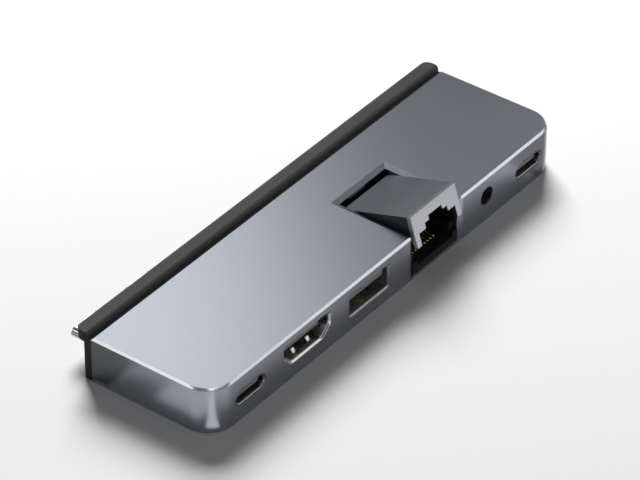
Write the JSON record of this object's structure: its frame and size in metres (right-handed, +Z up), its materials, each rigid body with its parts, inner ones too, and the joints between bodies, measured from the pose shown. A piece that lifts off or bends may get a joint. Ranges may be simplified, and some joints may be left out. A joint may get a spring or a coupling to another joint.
{
  "type": "laptop docking station",
  "caption": "Slim aluminium dock that plugs straight into a laptop's side and adds video, USB, audio, memory-card and Ethernet sockets, the last behind a hinged jaw.",
  "frame": {"origin": "centre of the aluminium body's footprint, on the flat underside that the dock rests on", "axes": "+X along the body from the laptop-plug end to the card-slot end, -Y out of the port face, +Y towards the laptop, +Z up"},
  "size_m": [0.114, 0.0393, 0.0144],
  "materials": {
    "anodised_aluminium": "fine bead-blasted, blue-grey anodised",
    "dark_aluminium": "fine bead-blasted, anodised a shade darker than the body",
    "machined_aluminium": "satin, lighter than the body",
    "dark_screws": "blackened countersunk heads",
    "black_plastic": "fine moulded grain",
    "pale_plastic": "smooth moulded",
    "dull_nickel": "nickel-plated, dull",
    "grip_rubber": "matt, soft-touch",
    "magnet_nickel": "nickel-plated",
    "nickel_steel": "nickel-plated, satin",
    "spring_steel": "bright, bent",
    "gold_contacts": "gold-plated",
    "tinned_metal": "tin-plated",
    "circuit_board": "solder mask over glass fibre",
    "insulating_film": "thin film",
    "chip_epoxy": "moulded epoxy",
    "copper": "rolled copper",
    "silicone_pad": "soft thermal pad",
    "ferrite": "sintered",
    "ceramic": "fired ceramic"
  },
  "bodies": {
    "root": {"top_shell": "anodised_aluminium", "bottom_cover": "anodised_aluminium", "cover_screws": "dark_screws", "rear_bezel": "black_plastic", "bezel_magnets": "magnet_nickel", "plug_1_shell": "nickel_steel", "plug_2_shell": "nickel_steel", "plug_1_insulator": "black_plastic", "plug_2_insulator": "black_plastic", "plug_contacts": "gold_contacts", "plug_blocks": "black_plastic", "main_board": "circuit_board", "board_screws": "tinned_metal", "insulating_sheet": "insulating_film", "usb_hub_chip": "chip_epoxy", "video_chip": "chip_epoxy", "power_chip": "chip_epoxy", "ethernet_chip": "chip_epoxy", "card_reader_chip": "chip_epoxy", "ethernet_transformer": "black_plastic", "shield_can": "nickel_steel", "heat_spreader": "copper", "thermal_pad": "silicone_pad", "crystals": "tinned_metal", "inductors": "ferrite", "capacitors": "ceramic", "usb_c_host_shell": "dull_nickel", "usb_c_host_tongue": "pale_plastic", "usb_c_host_contacts": "gold_contacts", "usb_c_data_shell": "dull_nickel", "usb_c_data_tongue": "pale_plastic", "usb_c_data_contacts": "gold_contacts", "hdmi_shell": "nickel_steel", "hdmi_tongue": "pale_plastic", "hdmi_contacts": "gold_contacts", "hdmi_springs": "spring_steel", "usb_a_shell": "nickel_steel", "usb_a_tongue": "pale_plastic", "usb_a_contacts": "gold_contacts", "usb_a_springs": "spring_steel", "audio_jack": "black_plastic", "audio_terminals": "tinned_metal", "card_socket_cover": "nickel_steel", "card_socket_base": "black_plastic", "card_contacts": "gold_contacts", "ethernet_housing": "black_plastic", "ethernet_contacts": "gold_contacts", "hinge_pin": "nickel_steel", "hinge_leaf_spring": "spring_steel"},
    "jaw_flap": {"jaw_cover": "dark_aluminium", "jaw_front_plate": "machined_aluminium", "jaw_liner": "black_plastic"},
    "grip": {"grip_pad": "grip_rubber", "grip_magnets": "magnet_nickel"}
  },
  "joints": [
    {"name": "jaw_hinge", "type": "hinge", "parent": "root", "child": "jaw_flap", "pos_m": [0.0145, -0.0021, 0.0087], "axis": [1, 0, 0], "range_deg": [0, 17.5]},
    {"name": "grip_pull_off", "type": "slide", "parent": "root", "child": "grip", "axis": [0, 1, 0], "range_m": [0, 0.012]}
  ]
}
